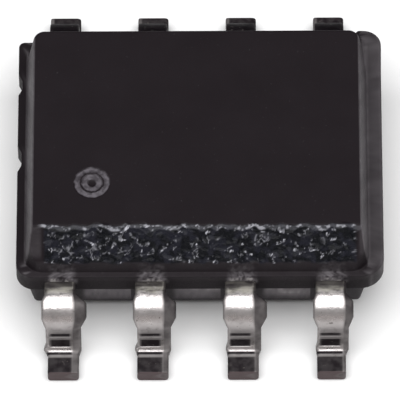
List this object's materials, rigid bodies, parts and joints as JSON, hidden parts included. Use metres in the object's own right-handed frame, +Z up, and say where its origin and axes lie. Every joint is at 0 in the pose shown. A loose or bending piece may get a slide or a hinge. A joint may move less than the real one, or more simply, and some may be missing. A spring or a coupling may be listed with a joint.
{
  "type": "soic chip",
  "caption": "Small-outline chip package: dark resin body with one bevelled long edge and gull-wing leads along both long sides, on a lead frame with die and bond wires inside.",
  "frame": {"origin": "middle of the footprint, on the plane that the eight feet stand on", "axes": "+X along the body from the lead 1 and 8 end, +Y across the body from the bevelled side with leads 1 to 4 to the side with leads 5 to 8, +Z up out of the marked face"},
  "size_m": [0.0052, 0.006, 0.0017],
  "materials": {
    "moulding_resin": "fine matte moulded epoxy with silica filler, rough along the bevel",
    "tin_plate": "satin tin plate over copper alloy, dulled by resin residue next to the body",
    "frame_copper": "bare rolled copper alloy",
    "silver_glue": "cured silver-filled epoxy",
    "silicon": "passivated silicon with sawn sides",
    "gold_wire": "smooth drawn gold"
  },
  "bodies": {
    "root": {"body": "moulding_resin", "lead_1": "tin_plate", "lead_2": "tin_plate", "lead_3": "tin_plate", "lead_4": "tin_plate", "lead_5": "tin_plate", "lead_6": "tin_plate", "lead_7": "tin_plate", "lead_8": "tin_plate", "die_paddle": "frame_copper", "die_attach": "silver_glue", "die": "silicon", "bond_wire_1": "gold_wire", "bond_wire_2": "gold_wire", "bond_wire_3": "gold_wire", "bond_wire_4": "gold_wire", "bond_wire_5": "gold_wire", "bond_wire_6": "gold_wire", "bond_wire_7": "gold_wire", "bond_wire_8": "gold_wire"}
  },
  "joints": []
}
